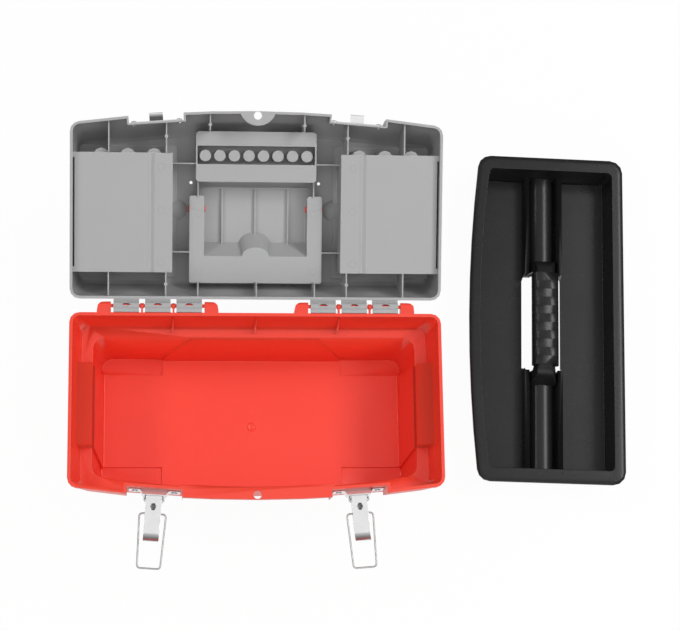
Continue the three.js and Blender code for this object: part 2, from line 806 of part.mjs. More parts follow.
function bitRoom() {
  const half = bitBlockHalf - bitWall;
  const floor = lidZ + bitBlockFloor + bitWall;
  const troughs = [
    [-bitBlockFront + bitWall, -bitChannelFront - bitWall],
    [-bitChannelBack + bitWall, -bitBlockBack - bitWall],
  ];
  const rooms = troughs.map(([y0, y1]) =>
    alongZ(roundedRectangle(-half, half, y0, y1, bitBlockCorner / 2), floor, far),
  );
  rooms.push(box(-half, half, -bitBlockFront + bitWall, -bitBlockBack - bitWall, deckZ - bitBarTop, far));
  for (let i = 0; i < bitCount; i++) {
    const x = (i - (bitCount - 1) / 2) * bitPitch;
    rooms.push(post(bitHoleRadius, x, -bitRow, lidZ + bitCupFloor + bitWall, far, bitHoleSides));
  }
  return join(...rooms);
}

// The U-shaped well that the folded carry handle lies in, grown outwards by some distance.
function handleWell(by, z0, z1) {
  const outer = handleWellHalf + by;
  const inner = handleWellHalf - handleArmWidth - by;
  const front = -handleWellFront - by;
  const bar = handleWellBar - by;
  const back = handleWellBack + by;
  const slope = handleWellDraft / (lidHeight - handleWellFloor);
  const draft = slope * (z1 - z0);
  // Round the pivot the floor of each arm is shallower.
  const step = alongX(
    polygon(
      [front - handleClearance, z0 - handleStepRise],
      [handleStepBack, z0 - handleStepRise],
      [handleStepBack, z0],
      [-handleStepFront, z0 + handleStepRise],
      [front - handleClearance, z0 + handleStepRise],
    ),
    -far,
    far,
  );
  const arms = [-1, 1].map((side) => {
    const plan = roundedRectangle(...sidePair(side, inner, outer), front, back, handleWellCorner);
    return cut(alongZ(plan, z0, z1), step);
  });
  const barProfile = polygon([bar, z0], [back, z0], [back, z1], [bar - draft, z1]);
  const crossBar = alongX(barProfile, -inner - handleWellCorner, inner + handleWellCorner);
  const radius = fingerHalf + by;
  const finger = new THREE.CylinderGeometry(radius + fingerFlare, radius, z1 - z0, 18);
  finger.rotateX(Math.PI / 2).scale(1, (fingerReach + by) / radius, 1);
  const dip = solid(finger.translate(0, 0, (z0 + z1) / 2));
  const lean = new THREE.Matrix4().makeShear(0, 0, 0, 0, 0, -slope);
  const settled = new THREE.Matrix4().makeTranslation(0, bar + by, z0);
  settled.multiply(lean).multiply(new THREE.Matrix4().makeTranslation(0, 0, -z0));
  return join(...arms, crossBar, moved(dip, settled));
}

function handlePivotBore() {
  const z = lidZ + handlePivotHeight;
  const reach = handleWellWall + pivotProud;
  const bores = [-1, 1].map((side) => {
    const x = sidePair(side, handleWellHalf - handleArmWidth - reach, handleWellHalf + reach);
    return rod(handlePivotRadius + pivotClearance, ...x, -handlePivotFront, z);
  });
  return join(...bores);
}

// Ribs that stiffen the lid from inside, hanging from the deck to some height.
function lidRibs() {
  const half = ribThickness / 2;
  const top = deckZ - lidWall / 2;
  const low = lidZ + ribClearance;
  const middle = lidZ + bitBlockFloor + crossRibLift;
  const panel = deckZ - panelRibDepth;
  const sink = lidWall; // how far a rib runs into the block it meets
  const acrossY = (x, y0, y1, z) => box(x - half, x + half, y0, y1, z, top);
  const acrossX = (y, x0, x1, z) => box(x0, x1, y - half, y + half, z, top);
  const nub = (x, y) => post(nubRadius, x, y, low, top, 8);
  const backFoot = handleWellBack - sink;
  const ribs = [];
  for (const side of [-1, 1]) {
    const outer = side * (halfLength - ribFromEnd);
    const inner = side * (wellInner + ribFromWell);
    ribs.push(acrossY(outer, -far, -wellFront, low), acrossY(outer, wellBack, far, low));
    ribs.push(acrossY(inner, -far, -wellFront, low), acrossY(inner, wellBack, far, low));
    ribs.push(nub(inner, -wellFront - wellNubFront), nub(inner, wellBack + wellNubBack));
    const front = side * (bitBlockHalf - frontRibInset);
    ribs.push(acrossY(front, -far, -bitBlockFront, low), nub(front, -bitBlockFront - bitNubFront));
    const beside = side * (bitBlockHalf - sideRibInset);
    ribs.push(acrossY(beside, backFoot, far, low));
    ribs.push(acrossY(beside, -bitBlockBack - sink, -handleWellFront + sink, middle));
    const fromBlock = sidePair(side, bitBlockHalf - sink, wellInner + sink);
    ribs.push(acrossX(-crossRibFront, ...fromBlock, middle));
    const fromArm = sidePair(side, handleWellHalf - sink, wellInner + sink);
    ribs.push(acrossX(crossRibBack, ...fromArm, middle));
    ribs.push(acrossY(side * panelRibSpacing, -panelRibFront, handleWellBar, panel));
  }
  ribs.push(acrossY(0, backFoot, far, low));
  ribs.push(acrossY(0, -panelRibFront, handleWellBar - fingerReach, panel));
  const armInner = handleWellHalf - handleArmWidth;
  ribs.push(acrossX(-panelRibFront, -armInner - sink, armInner + sink, panel));
  return join(...ribs);
}

// The knuckles that clip over the hinge rod, each with its opening stop and its window.
function lidKnuckles() {
  const stopReach = hingeOffset - metalGap;
  const atHinge = (part, angle, x) =>
    solid(part.rotateX(angle).translate(x, hingeY, hingeZ));
  const windowShape = polygon(
    [-windowFoot / 2, -pivotGap],
    [windowFoot / 2, -pivotGap],
    [windowHead / 2, windowHeight - pivotGap],
    [-windowHead / 2, windowHeight - pivotGap],
  );
  const parts = [];
  for (const side of [-1, 1])
    for (const place of [-1, 0, 1]) {
      const centre = side * hingeGroupCentre + place * hingeWebSpacing;
      const x0 = centre - knuckleWidth / 2;
      const x1 = centre + knuckleWidth / 2;
      const root = halfWidth - lidRimWall;
      const arm = polygon(
        [root, lidZ + pivotGap],
        [hingeY, hingeZ + knuckleBore / 2 + pivotGap],
        [hingeY, hingeZ + knuckleRadius],
        [root, lidZ + knuckleArmRise],
      );
      const knuckle = join(rod(knuckleRadius, x0, x1, hingeY, hingeZ, 12), alongX(arm, x0, x1));
      // The stop meets the base's back wall when the lid lies open.
      const stop = new THREE.BoxGeometry(knuckleWidth, stopReach, stopThickness);
      stop.translate(0, stopReach / 2, 0);
      const mouth = new THREE.BoxGeometry(knuckleWidth + 2, 2 * knuckleRadius, hingeRod * mouthShare);
      mouth.translate(0, knuckleRadius, 0);
      const window = extrude(windowShape, 2 * knuckleRadius);
      parts.push(
        cut(
          join(knuckle, atHinge(stop, Math.PI + rad(lidOpenAngle), centre)),
          rod(knuckleBore / 2, x0 - 1, x1 + 1, hingeY, hingeZ, 10),
          atHinge(mouth, rad(mouthAngle), centre),
          atHinge(window, rad(lidOpenAngle), centre),
        ),
      );
    }
  return join(...parts);
}

const hookZ = latchPivotZ - bailDrop + bailLength;
const strikeRivetZ = hookZ + strikeLift;

function makeLid() {
  let hanging = join(
    lidRibs(),
    bitBlock(),
    handleWell(0, lidZ + handleWellFloor, deckZ),
    ...[-1, 1].map(wellBlock),
  );
  // The thumb dips beside the wells show as domes from inside.
  const thumb = (side, radius) => {
    const ball = new THREE.SphereGeometry(radius, 12, 6).rotateX(Math.PI / 2);
    ball.scale(1, 1, thumbFlatness);
    return solid(ball.translate(side * (wellInner - thumbOffset), 0, deckZ));
  };
  for (const side of [-1, 1]) hanging = join(hanging, thumb(side, thumbRadius + lidWall / thumbFlatness));
  let lid = join(lidShell(), hanging.intersect(lidBody(lidWall / 2)), lidKnuckles());
  const handleRoomFloor = lidZ + handleWellFloor + handleWellWall;
  lid = cut(
    lid,
    bitRoom(),
    handleWell(-handleWellWall, handleRoomFloor, deckZ + lidWall),
    handlePivotBore(),
    post(padlockHole / 2, 0, frontAt(0) + padlockInset, lidZ - 1, lidZ + 3 * padlockPocketFloor),
  );
  for (const side of [-1, 1]) {
    // A narrow slot between the well and the end wall.
    const inside = halfLength - lidRimWall;
    const x = sidePair(side, inside - slotWidth, inside);
    const floor = lidZ + wellFloorHeight;
    const slot = box(
      ...x, slotInset - wellFront, wellBack - slotInset, floor - wellWall, floor + slotDepth,
    );
    lid = cut(lid, wellRoom(side), coverSeat(side), thumb(side, thumbRadius), slot);
    const pegY = -bitBlockBack + pegHoleFromBlock;
    lid = cut(lid, post(pegHole / 2, (side * pegHoleSpan) / 2, pegY, deckZ - 3 * lidWall, far, 8));
    lid = cut(lid, rivetBores(side, strikeRivetSpan, strikeRivetZ));
  }
  return lid;
}

// ---- Covers and handle, built shut ---------------------------------------------------------
function makeCover(side) {
  const x = sidePair(side, coverInner, coverPinX);
  const plate = box(...x, coverFront, coverBack, deckZ - coverThickness, deckZ);
  const along = (radius, length, sides) => {
    const geometry = new THREE.CylinderGeometry(radius, radius, length, sides);
    return solid(geometry.translate(side * coverPinX, (coverFront + coverBack) / 2, coverPinZ));
  };
  const roll = along(coverThickness / 2, coverBack - coverFront, 12);
  const pin = along(coverPin / 2, coverBack - coverFront + 2 * coverPinReach, 12);
  // A skirt drops into the well, clear of its walls and of the hinge side.
  const skirtX = sidePair(side, wellInner + wellWall + coverGap, wellOuter - coverSkirtInset);
  const y0 = -wellFront + wellWall + coverGap;
  const y1 = wellBack - wellWall - coverGap;
  const under = deckZ - coverThickness;
  const ring = (by) =>
    roundedRectangle(skirtX[0] + by, skirtX[1] - by, y0 + by, y1 - by, wellRadius - by);
  const skirt = cut(
    alongZ(ring(0), under - coverSkirt, deckZ - coverThickness / 2),
    alongZ(ring(coverSkirtWall), under - 2 * coverSkirt, under),
  );
  return join(plate, roll, pin, skirt);
}

function makeHandle() {
  const gap = handleWellWall + handleClearance;
  const outer = handleWellHalf - gap;
  const inner = handleWellHalf - handleArmWidth + gap;
  const back = handleWellBack - gap;
  const pivotZ = lidZ + handlePivotHeight;
  const top = deckZ - handleDrop;
  const bottom = top - handleArmDepth;
  const side = new THREE.Shape();
  const nose = Math.min(top - pivotZ, handleWellFront - handlePivotFront - gap);
  side.moveTo(-handlePivotFront, pivotZ + nose);
  side.absarc(-handlePivotFront, pivotZ, nose, Math.PI / 2, 1.5 * Math.PI);
  side.lineTo(back - handleBarDepth, bottom);
  side.lineTo(back - handleCorner, bottom);
  side.quadraticCurveTo(back, bottom, back, bottom + handleCorner);
  side.lineTo(back, top - handleCorner);
  side.quadraticCurveTo(back, top, back - handleCorner, top);
  side.lineTo(handlePivotFront + nose, top);
  const arms = [-1, 1].map((way) => alongX(side, ...sidePair(way, inner, outer)));
  const barFront = back - handleBarDepth;
  const bar = roundedRectangle(barFront, back, bottom - handleBarDrop, top, handleBarCorner);
  const grip = alongX(bar, -inner - handleWall, inner + handleWall);
  const stub = pivotProud;
  const pins = [-1, 1].map((way) => {
    const x = sidePair(way, handleWellHalf - handleArmWidth - stub, handleWellHalf + stub);
    return rod(handlePivotRadius, ...x, -handlePivotFront, pivotZ);
  });
  // The handle is a channel, open underneath.
  const under = bottom - handleArmDepth;
  const ceiling = top - handleWall;
  const armRooms = [-1, 1].map((way) => {
    const x = sidePair(way, inner + handleWall, outer - handleWall);
    return box(...x, handleWellFront, back - handleWall, under, ceiling);
  });
  const barX = outer - handleWall;
  const barRoom = box(-barX, barX, barFront + handleWall, back - handleWall, under, ceiling);
  return cut(join(...arms, grip, ...pins), ...armRooms, barRoom);
}

// ---- Latch pieces, each in the latch frame --------------------------------------------------
function sheetBores(span, z) {
  const bores = [-1, 1].map((way) => {
    const bore = new THREE.CylinderGeometry(rivetBore / 2, rivetBore / 2, 6 * sheet, rivetSides);
    return solid(bore.translate((way * span) / 2, 0, z));
  });
  return join(...bores);
}

function makeBracket() {
  const half = bracketWidth / 2;
  const foot = bulgeHalf + bulgeFlare;
  const near = -metalGap;
  const line = [
    [-half, near],
    [-foot, near],
    [-bulgeHalf, near - bulgeOut],
    [bulgeHalf, near - bulgeOut],
    [foot, near],
    [half, near],
  ];
  const outerLine = line.map(([x, y]) => [x, y - sheet]);
  const strip = polygon(...outerLine, ...line.reverse());
  const z0 = latchPivotZ - bracketHeight / 2;
  const z1 = latchPivotZ + bracketHeight / 2;
  let bracket = alongZ(strip, z0, z1);
  for (const way of [-1, 1]) {
    const root = cheekRadius + 2 * sheet;
    const cheek = new THREE.Shape();
    cheek.moveTo(near - bulgeOut, latchPivotZ + root);
    cheek.absarc(-latchPivotOut, latchPivotZ, cheekRadius, Math.PI / 2, 1.5 * Math.PI);
    cheek.lineTo(near - bulgeOut, latchPivotZ - root);
    bracket = join(bracket, alongX(cheek, ...sidePair(way, cheekHalf, cheekHalf + sheet)));
  }
  const pinBore = rod(latchPinRadius + pinClearance, -half, half, -latchPivotOut, latchPivotZ, 10);
  return cut(bracket, pinBore, sheetBores(bracketRivetSpan, bracketRivetZ));
}

// The pivot pin, its axis along X through the origin.
function makeLatchPin() {
  const head = cheekHalf + sheet + metalGap;
  return join(
    rod(latchPinRadius, -head - latchPinHeadLength / 2, head + latchPinHeadLength / 2, 0, 0, 8),
    rod(latchPinHead, head, head + latchPinHeadLength, 0, 0, 8),
    rod(latchPinHead, -head - latchPinHeadLength, -head, 0, 0, 8),
  );
}

// The lever hangs from its pivot at the origin, its web outwards and its end curled out.
function makeLever() {
  const half = leverWidth / 2;
  const web = -leverWeb;
  const outside = web - sheet;
  const end = -leverLength;
  const bend = end + leverBend;
  const sole = new THREE.Shape();
  sole.moveTo(web, leverNose);
  sole.lineTo(outside, leverNose);
  sole.lineTo(outside, bend);
  sole.quadraticCurveTo(outside, end + leverLip - sheet, outside - leverLip, end + sheet / 2);
  sole.lineTo(web - leverLip, end);
  sole.quadraticCurveTo(web, end + leverLip - 2 * sheet, web, bend);
  const back = leverFlange - leverWeb;
  const flange = new THREE.Shape();
  flange.moveTo(web - sheet / 2, leverNose);
  flange.lineTo(0, leverNose);
  flange.absarc(0, 0, leverNose, Math.PI / 2, 0, true);
  flange.lineTo(back, -2 * leverNose);
  flange.lineTo(back, -bailDrop - bailBore);
  flange.lineTo(web + leverTaper, bend - sheet);
  flange.lineTo(web - sheet / 2, bend - sheet);
  const sides = [-1, 1].map((way) => alongX(flange, ...sidePair(way, half, half - sheet)));
  const hole = new THREE.Shape();
  hole.absellipse(0, -leverHoleDrop, leverHoleWide / 2, leverHoleLong / 2, 0, 2 * Math.PI);
  return cut(
    join(alongX(sole, -half, half), ...sides),
    rod(latchPinRadius + pinClearance, -far, far, 0, 0, 10),
    rod(bailBore / 2, -far, far, bailIn, -bailDrop, 10),
    alongY(hole, -far, 0),
  );
}

// The wire bail runs from its pivot at the origin up to the hook, along +Z.
function makeBail() {
  const top = bailTopWidth / 2 - bailWire / 2;
  const end = bailEndWidth / 2 - bailWire / 2;
  const tail = leverWidth / 2 - bailTail;
  const lean = ((top - end) / bailLength) * bailBend;
  const low = bailBend;
  const high = bailLength - bailBend;
  const path = new THREE.Path().moveTo(tail, 0).lineTo(top - bailBend, 0);
  path.quadraticCurveTo(top, 0, top - lean, low).lineTo(end + lean, high);
  path.quadraticCurveTo(end, bailLength, end - bailBend, bailLength).lineTo(bailBend - end, bailLength);
  path.quadraticCurveTo(-end, bailLength, -end - lean, high).lineTo(lean - top, low);
  path.quadraticCurveTo(-top, 0, bailBend - top, 0).lineTo(-tail, 0);
  return wire(path.getPoints(4), bailWire / 2);
}

// The strike plate on the lid, with the hook that the bail pulls on.
function makeStrike() {
  const half = strikeWidth / 2;
  const near = -metalGap;
  const z0 = strikeRivetZ - strikeHeight / 2;
  const plate = box(-half, half, near - sheet, near, z0, z0 + strikeHeight);
  const tabZ = hookZ - bailWire / 2 - metalGap;
  const tab = polygon(
    [near - sheet / 2, tabZ],
    [near - sheet / 2, tabZ - 2 * sheet],
    [-hookReach, tabZ - 2 * sheet],
    [-hookReach - hookChamfer, tabZ - sheet],
    [-hookReach - hookChamfer, tabZ + hookLip - sheet],
    [-hookReach + hookChamfer, tabZ + hookLip - sheet],
    [-hookReach + hookChamfer, tabZ],
  );
  const strike = join(plate, alongX(tab, -hookWidth / 2, hookWidth / 2));
  return cut(strike, sheetBores(strikeRivetSpan, strikeRivetZ));
}

// A rivet along Y: domed head outside, shank through sheet and wall, flat head inside.
function makeRivet(wall) {
  const outside = -metalGap - sheet - metalGap;
  const inside = wall + metalGap;
  const profile = [
    new THREE.Vector2(0, inside + rivetFoot),
    new THREE.Vector2(rivetHead / 2, inside + rivetFoot),
    new THREE.Vector2(rivetHead / 2, inside),
    new THREE.Vector2(rivetShank / 2, inside),
    new THREE.Vector2(rivetShank / 2, outside),
    new THREE.Vector2(rivetHead / 2, outside),
    new THREE.Vector2(rivetHead / 3, outside - 0.8 * rivetDome),
    new THREE.Vector2(0, outside - rivetDome),
  ];
  return solid(new THREE.LatheGeometry(profile.reverse(), rivetSides));
}

// ---- Tray, in its own frame: length along X, bow towards -Y ---------------------------------
// Lifted in, its flange lies on the end shelves, between the gussets and the wall under the lip.
const between = (low, high, share) => low + (high - low) * share;
const shelfShare = (shelfZ - ledgeZ) / ledgeDrop;
const seatEnd = between(upperFootInside.halfX, upperRimInside.halfX, shelfShare);
const seatBack =
  halfWidth - baseRimWall - between(upperSideLean + gussetReach, gussetTopReach, 1.15 * shelfShare);
const seatFront = -frontAt(0) - lipDepth - baseWall; // at the middle of the bow
const trayRim = {
  halfX: seatEnd - trayEndClearance,
  back: (seatBack + seatFront - trayBow) / 2 - traySideClearance,
  front: (seatBack + seatFront - trayBow) / 2 - traySideClearance,
  bow: trayBow,
  radius: trayRadius,
};
const trayMouth = {
  ...grown(trayRim, -trayFlange),
  halfX: lowerTopInside.halfX + trayLean / 2 - trayWall - trayBodyClearance,
  radius: trayInnerRadius,
};
const trayMiddle = (trayMouth.back - trayMouth.front - trayBow) / 2;
const fingerSlotHalf = railCentre + railWidth / 2 + railDraft;

// One grip band: a rounded bar whose crown sways to one side.
function gripBand(index) {
  const pitch = gripLength / gripBands;
  const sway = index % 2 ? gripSway : -gripSway;
  const x0 = -gripLength / 2 + index * pitch;
  const low = gripTop - gripDepth;
  const shoulder = gripTop - 2 * gripSway;
  const shape = new THREE.Shape();
  shape.moveTo(gripChamfer - gripHalf, low);
  shape.lineTo(gripHalf - gripChamfer, low);
  shape.lineTo(gripHalf, low + gripChamfer);
  shape.lineTo(gripHalf, shoulder);
  shape.quadraticCurveTo(gripHalf + Math.min(0, sway) / 2, gripTop, sway, gripTop);
  shape.quadraticCurveTo(Math.max(0, sway) / 2 - gripHalf, gripTop, -gripHalf, shoulder);
  shape.lineTo(-gripHalf, low + gripChamfer);
  const place = new THREE.Matrix4().makeTranslation(0, trayMiddle, 0);
  return moved(alongX(shape, x0, x0 + pitch), place);
}

// The flange round the rim, with its skirt and the body below it.
function trayShell() {
  const under = trayHeight - trayFlangeThickness;
  const flange = loft([
    level(trayRim, -trayFlangeThickness, trayHeight - trayFlangeSkirt),
    level(trayRim, 0, trayHeight - trayFlangeSkirt),
    level(trayRim, 0, trayHeight - trayFlangeFall - trayFlangeRound),
    level(trayRim, -trayFlangeRound, trayHeight - trayFlangeFall),
    level(trayRim, -trayFlangeSlope, trayHeight),
    level(trayMouth, trayWall / 2, trayHeight),
  ]);
  const underRoom = cut(
    upright(trayRim, -trayFlangeThickness, 0, under - trayFlangeFall / 2),
    upright(trayMouth, trayWall, 0, far),
  );
  const foot = grown(trayMouth, -trayLean);
  const body = loft([
    level(foot, trayWall - trayFootRound, 0),
    level(foot, trayWall, trayFootRound),
    level(trayMouth, trayWall, under),
    level(trayMouth, trayWall, trayHeight - trayFlangeRound),
  ]);
  const room = loft([
    level(foot, -1, trayFloor),
    level(foot, 0, trayFloor + 1),
    level(trayMouth, 0, trayHeight - trayFlangeRound),
    level(trayMouth, trayFlangeRound, trayHeight + trayFlangeRound),
  ]);
  return cut(join(cut(flange, underRoom), body), room);
}

// The spine: two rails with a low rounded tunnel between them, from end to end.
function traySpine() {
  const low = trayFloor / 2;
  const length = trayMouth.halfX + trayWall;
  const inside = loft([
    level(grown(trayMouth, -trayLean), trayWall / 2, low),
    level(trayMouth, trayWall / 2, trayHeight - trayFlangeRound),
  ]);
  const rails = [-1, 1].map((way) => {
    const y = trayMiddle + way * railCentre;
    const top = railWidth / 2;
    const foot = top + railDraft;
    const profile = polygon([y - foot, low], [y + foot, low], [y + top, railHeight], [y - top, railHeight]);
    return alongX(profile, -length, length);
  });
  const tunnel = new THREE.Shape();
  const reach = railCentre - railWidth / 2;
  tunnel.moveTo(trayMiddle - reach, low);
  tunnel.lineTo(trayMiddle + reach, low);
  tunnel.lineTo(trayMiddle + tunnelHalf, trayFloor);
  tunnel.absellipse(trayMiddle, trayFloor, tunnelHalf, tunnelHeight - trayFloor, 0, Math.PI);
  return join(...rails, alongX(tunnel, -length, length)).intersect(inside);
}

function tunnelRoom() {
  const half = tunnelHalf - trayWall;
  const length = trayMouth.halfX - trayLean - trayWall;
  const shape = new THREE.Shape();
  shape.moveTo(trayMiddle + half, -trayFloor);
  shape.absellipse(trayMiddle, trayFloor, half, tunnelHeight - trayFloor - trayWall, 0, Math.PI);
  shape.lineTo(trayMiddle - half, -trayFloor);
  return alongX(shape, -length, length);
}

// The opening round the grip, its four ends drawn to points beside the rails.
function fingerSlot() {
  const half = fingerSlotLength / 2;
  const point = half - fingerSlotPoint;
  const plan = new THREE.Shape();
  const y0 = trayMiddle - fingerSlotHalf;
  const y1 = trayMiddle + fingerSlotHalf;
  const blunt = fingerSlotPoint / 2;
  plan.moveTo(-half, y0 + blunt);
  plan.quadraticCurveTo(-half, y0, -point, y0);
  plan.lineTo(point, y0);
  plan.quadraticCurveTo(half, y0, half, y0 + blunt);
  plan.lineTo(half, y1 - blunt);
  plan.quadraticCurveTo(half, y1, point, y1);
  plan.lineTo(-point, y1);
  plan.quadraticCurveTo(-half, y1, -half, y1 - blunt);
  return alongZ(plan, -trayFloor, far);
}

// A tower carries the grip from the tunnel at each end.
function gripTower(way) {
  const near = way * (gripLength / 2 - 1);
  const shaft = way * (gripLength / 2 + towerInset);
  const out = way * (gripLength / 2 + towerLength);
  const foot = way * (gripLength / 2 + towerLength + towerFoot);
  const top = gripTop - towerFoot;
  const low = gripTop - gripDepth;
  const profile = new THREE.Shape();
  profile.moveTo(near, low);
  profile.lineTo(near, top);
  profile.quadraticCurveTo(out, top, foot, tunnelHeight - towerFoot);
  profile.lineTo(foot, trayFloor / 2);
  profile.lineTo(shaft, trayFloor / 2);
  profile.lineTo(shaft, low - towerFoot);
  const block = alongY(profile, trayMiddle - gripHalf, trayMiddle + gripHalf);
  const crown = new THREE.CylinderGeometry(1, 1, far, 20).rotateZ(Math.PI / 2);
  crown.scale(1, gripHalf + 1, gripTop).translate(0, trayMiddle, 0);
  return block.intersect(solid(crown));
}

function makeTray() {
  const tray = cut(join(trayShell(), traySpine()), tunnelRoom(), fingerSlot());
  const bands = Array.from({ length: gripBands }, (_, i) => gripBand(i));
  return join(tray, gripTower(-1), gripTower(1), ...bands);
}

// ---- Assembly ---------------------------------------------------------------------------------
function part(name, body, material) {
  const geometry = geometryOf(body);
  geometry.computeVertexNormals();
  const mesh = new THREE.Mesh(geometry, material);
  mesh.name = name;
  return mesh;
}

const toolbox = new THREE.Group();
toolbox.add(part("base_shell", makeBase(), redPlastic));

// The lid's group sits on the hinge axis and holds pieces that were built in the shut place.
const hingeAxis = new THREE.Vector3(0, hingeY, hingeZ);
const lid = new THREE.Group();
lid.position.copy(hingeAxis);
lid.rotation.x = -rad(lidOpenAngle);
const shutPlace = new THREE.Group();
shutPlace.position.copy(hingeAxis).negate();
lid.add(shutPlace);
toolbox.add(lid);
shutPlace.add(
  part("lid_shell", makeLid(), greyPlastic),
  part("carry_handle", makeHandle(), redPlastic),
  part("organiser_cover_left", makeCover(-1), greyPlastic),
  part("organiser_cover_right", makeCover(1), greyPlastic),
);

function latchGroup(side) {
  const group = new THREE.Group();
  group.applyMatrix4(latchFrame(side));
  return group;
}

const bracketBody = makeBracket();
const pinBody = makeLatchPin();
const leverBody = makeLever();
const bailBody = makeBail();
const strikeBody = makeStrike();
const leverRest = -rad(90); // the lever stands straight out
const bailLean = Math.atan2(latchPivotOut - bailIn - (hookReach - 0.6) / 2 - 1, bailLength);

for (const [side, word] of [[-1, "left"], [1, "right"]]) {
  const onBase = latchGroup(side);
  toolbox.add(onBase);
  onBase.add(part("latch_bracket_" + word, bracketBody, nickel));
  const pivot = new THREE.Group();
  pivot.position.set(0, -latchPivotOut, latchPivotZ);
  onBase.add(pivot);
  pivot.add(part("latch_pivot_pin_" + word, pinBody, nickel));
  const lever = new THREE.Group();
  lever.rotation.x = leverRest;
  pivot.add(lever);
  lever.add(part("latch_lever_" + word, leverBody, nickel));
  const bail = part("latch_bail_" + word, bailBody, nickel);
  bail.position.set(0, bailIn, -bailDrop);
  bail.rotation.x = Math.PI - bailLean;
  lever.add(bail);
  const onLid = latchGroup(side);
  shutPlace.add(onLid);
  onLid.add(part("strike_plate_" + word, strikeBody, nickel));
  for (const [way, end] of [[-1, "a"], [1, "b"]]) {
    const low = part(`bracket_rivet_${word}_${end}`, makeRivet(baseWall), nickel);
    low.position.set((way * bracketRivetSpan) / 2, 0, bracketRivetZ);
    onBase.add(low);
    const high = part(`strike_rivet_${word}_${end}`, makeRivet(lidWall), nickel);
    high.position.set((way * strikeRivetSpan) / 2, 0, strikeRivetZ);
    onLid.add(high);
  }
}

// The tray stands beside the box, its front towards it.
const tray = part("tray", makeTray(), blackPlastic);
tray.position.set(halfLength + trayStandOff + trayRim.front + trayBow, trayPlaceY, 0);
tray.rotation.z = -rad(90 + trayTurn);
toolbox.add(tray);

export default toolbox;
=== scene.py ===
"""A plastic toolbox, open, with its lift-out tray laid beside it."""

import json
import math

import bmesh
import bpy
from mathutils import Matrix, Vector


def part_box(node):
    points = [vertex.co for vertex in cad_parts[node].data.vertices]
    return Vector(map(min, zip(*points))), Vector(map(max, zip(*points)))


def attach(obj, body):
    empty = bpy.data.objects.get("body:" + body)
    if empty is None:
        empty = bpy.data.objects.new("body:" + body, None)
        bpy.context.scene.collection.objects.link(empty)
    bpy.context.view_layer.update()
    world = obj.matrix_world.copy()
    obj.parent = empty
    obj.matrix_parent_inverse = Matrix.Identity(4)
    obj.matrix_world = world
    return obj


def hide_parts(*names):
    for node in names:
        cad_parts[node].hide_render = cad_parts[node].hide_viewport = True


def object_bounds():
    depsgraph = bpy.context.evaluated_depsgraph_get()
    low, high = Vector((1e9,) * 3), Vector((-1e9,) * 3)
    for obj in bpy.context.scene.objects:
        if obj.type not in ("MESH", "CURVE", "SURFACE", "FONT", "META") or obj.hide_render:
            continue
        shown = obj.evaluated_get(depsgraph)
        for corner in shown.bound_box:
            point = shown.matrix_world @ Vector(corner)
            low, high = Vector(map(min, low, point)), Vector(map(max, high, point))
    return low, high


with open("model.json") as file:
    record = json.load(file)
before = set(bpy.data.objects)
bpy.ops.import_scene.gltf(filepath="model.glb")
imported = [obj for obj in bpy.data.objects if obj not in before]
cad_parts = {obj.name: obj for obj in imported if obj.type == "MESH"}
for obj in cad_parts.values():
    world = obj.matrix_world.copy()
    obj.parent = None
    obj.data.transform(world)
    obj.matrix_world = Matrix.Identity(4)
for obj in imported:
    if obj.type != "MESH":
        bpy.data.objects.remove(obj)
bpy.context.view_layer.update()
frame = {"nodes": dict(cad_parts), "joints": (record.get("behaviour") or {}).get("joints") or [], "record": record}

RECORD = frame["record"]
BODY_OF = {node: body for body, nodes in RECORD["behaviour"]["bodies"].items() for node in nodes}
SLOT_OF = {part["node"]: part["material_slot"] for part in RECORD["subparts"]}
JOINT = {joint["name"]: joint for joint in frame["joints"]}
HINGE = Vector(JOINT["lid_hinge"]["pos_m"])
LID_OPEN = math.radians(162.0)
SIDES = ("left", "right")
MM = 0.001


def placed(name, data):
    """A new object in the scene."""
    thing = bpy.data.objects.new(name, data)
    bpy.context.scene.collection.objects.link(thing)
    return thing


def rgba(colour):
    return (*colour, 1.0)


# ---- Node trees ---------------------------------------------------------------------
class Wire:
    """An output socket that can stand in a sum."""

    def __init__(self, tree, socket):
        self.tree = tree
        self.socket = socket

    def maths(self, operation, first, second=0.0):
        return self.tree.add("ShaderNodeMath", {"operation": operation}, [first, second]).wire(0)

    def __add__(self, other):
        return self.maths("ADD", self, other)

    __radd__ = __add__

    def __sub__(self, other):
        return self.maths("SUBTRACT", self, other)

    def __rsub__(self, other):
        return self.maths("SUBTRACT", other, self)

    def __mul__(self, other):
        return self.maths("MULTIPLY", self, other)

    def __truediv__(self, other):
        return self.maths("DIVIDE", self, other)

    def __pow__(self, other):
        return self.maths("POWER", self, other)

    def __abs__(self):
        return self.maths("ABSOLUTE", self)

    def below(self, other):
        return self.maths("LESS_THAN", self, other)

    def clamped(self):
        return self.maths("MINIMUM", self.maths("MAXIMUM", self, 0.0), 1.0)


class Made:
    """A node that was added to a tree."""

    def __init__(self, tree, node):
        self.tree = tree
        self.node = node

    def wire(self, name):
        return Wire(self.tree, self.node.outputs[name])


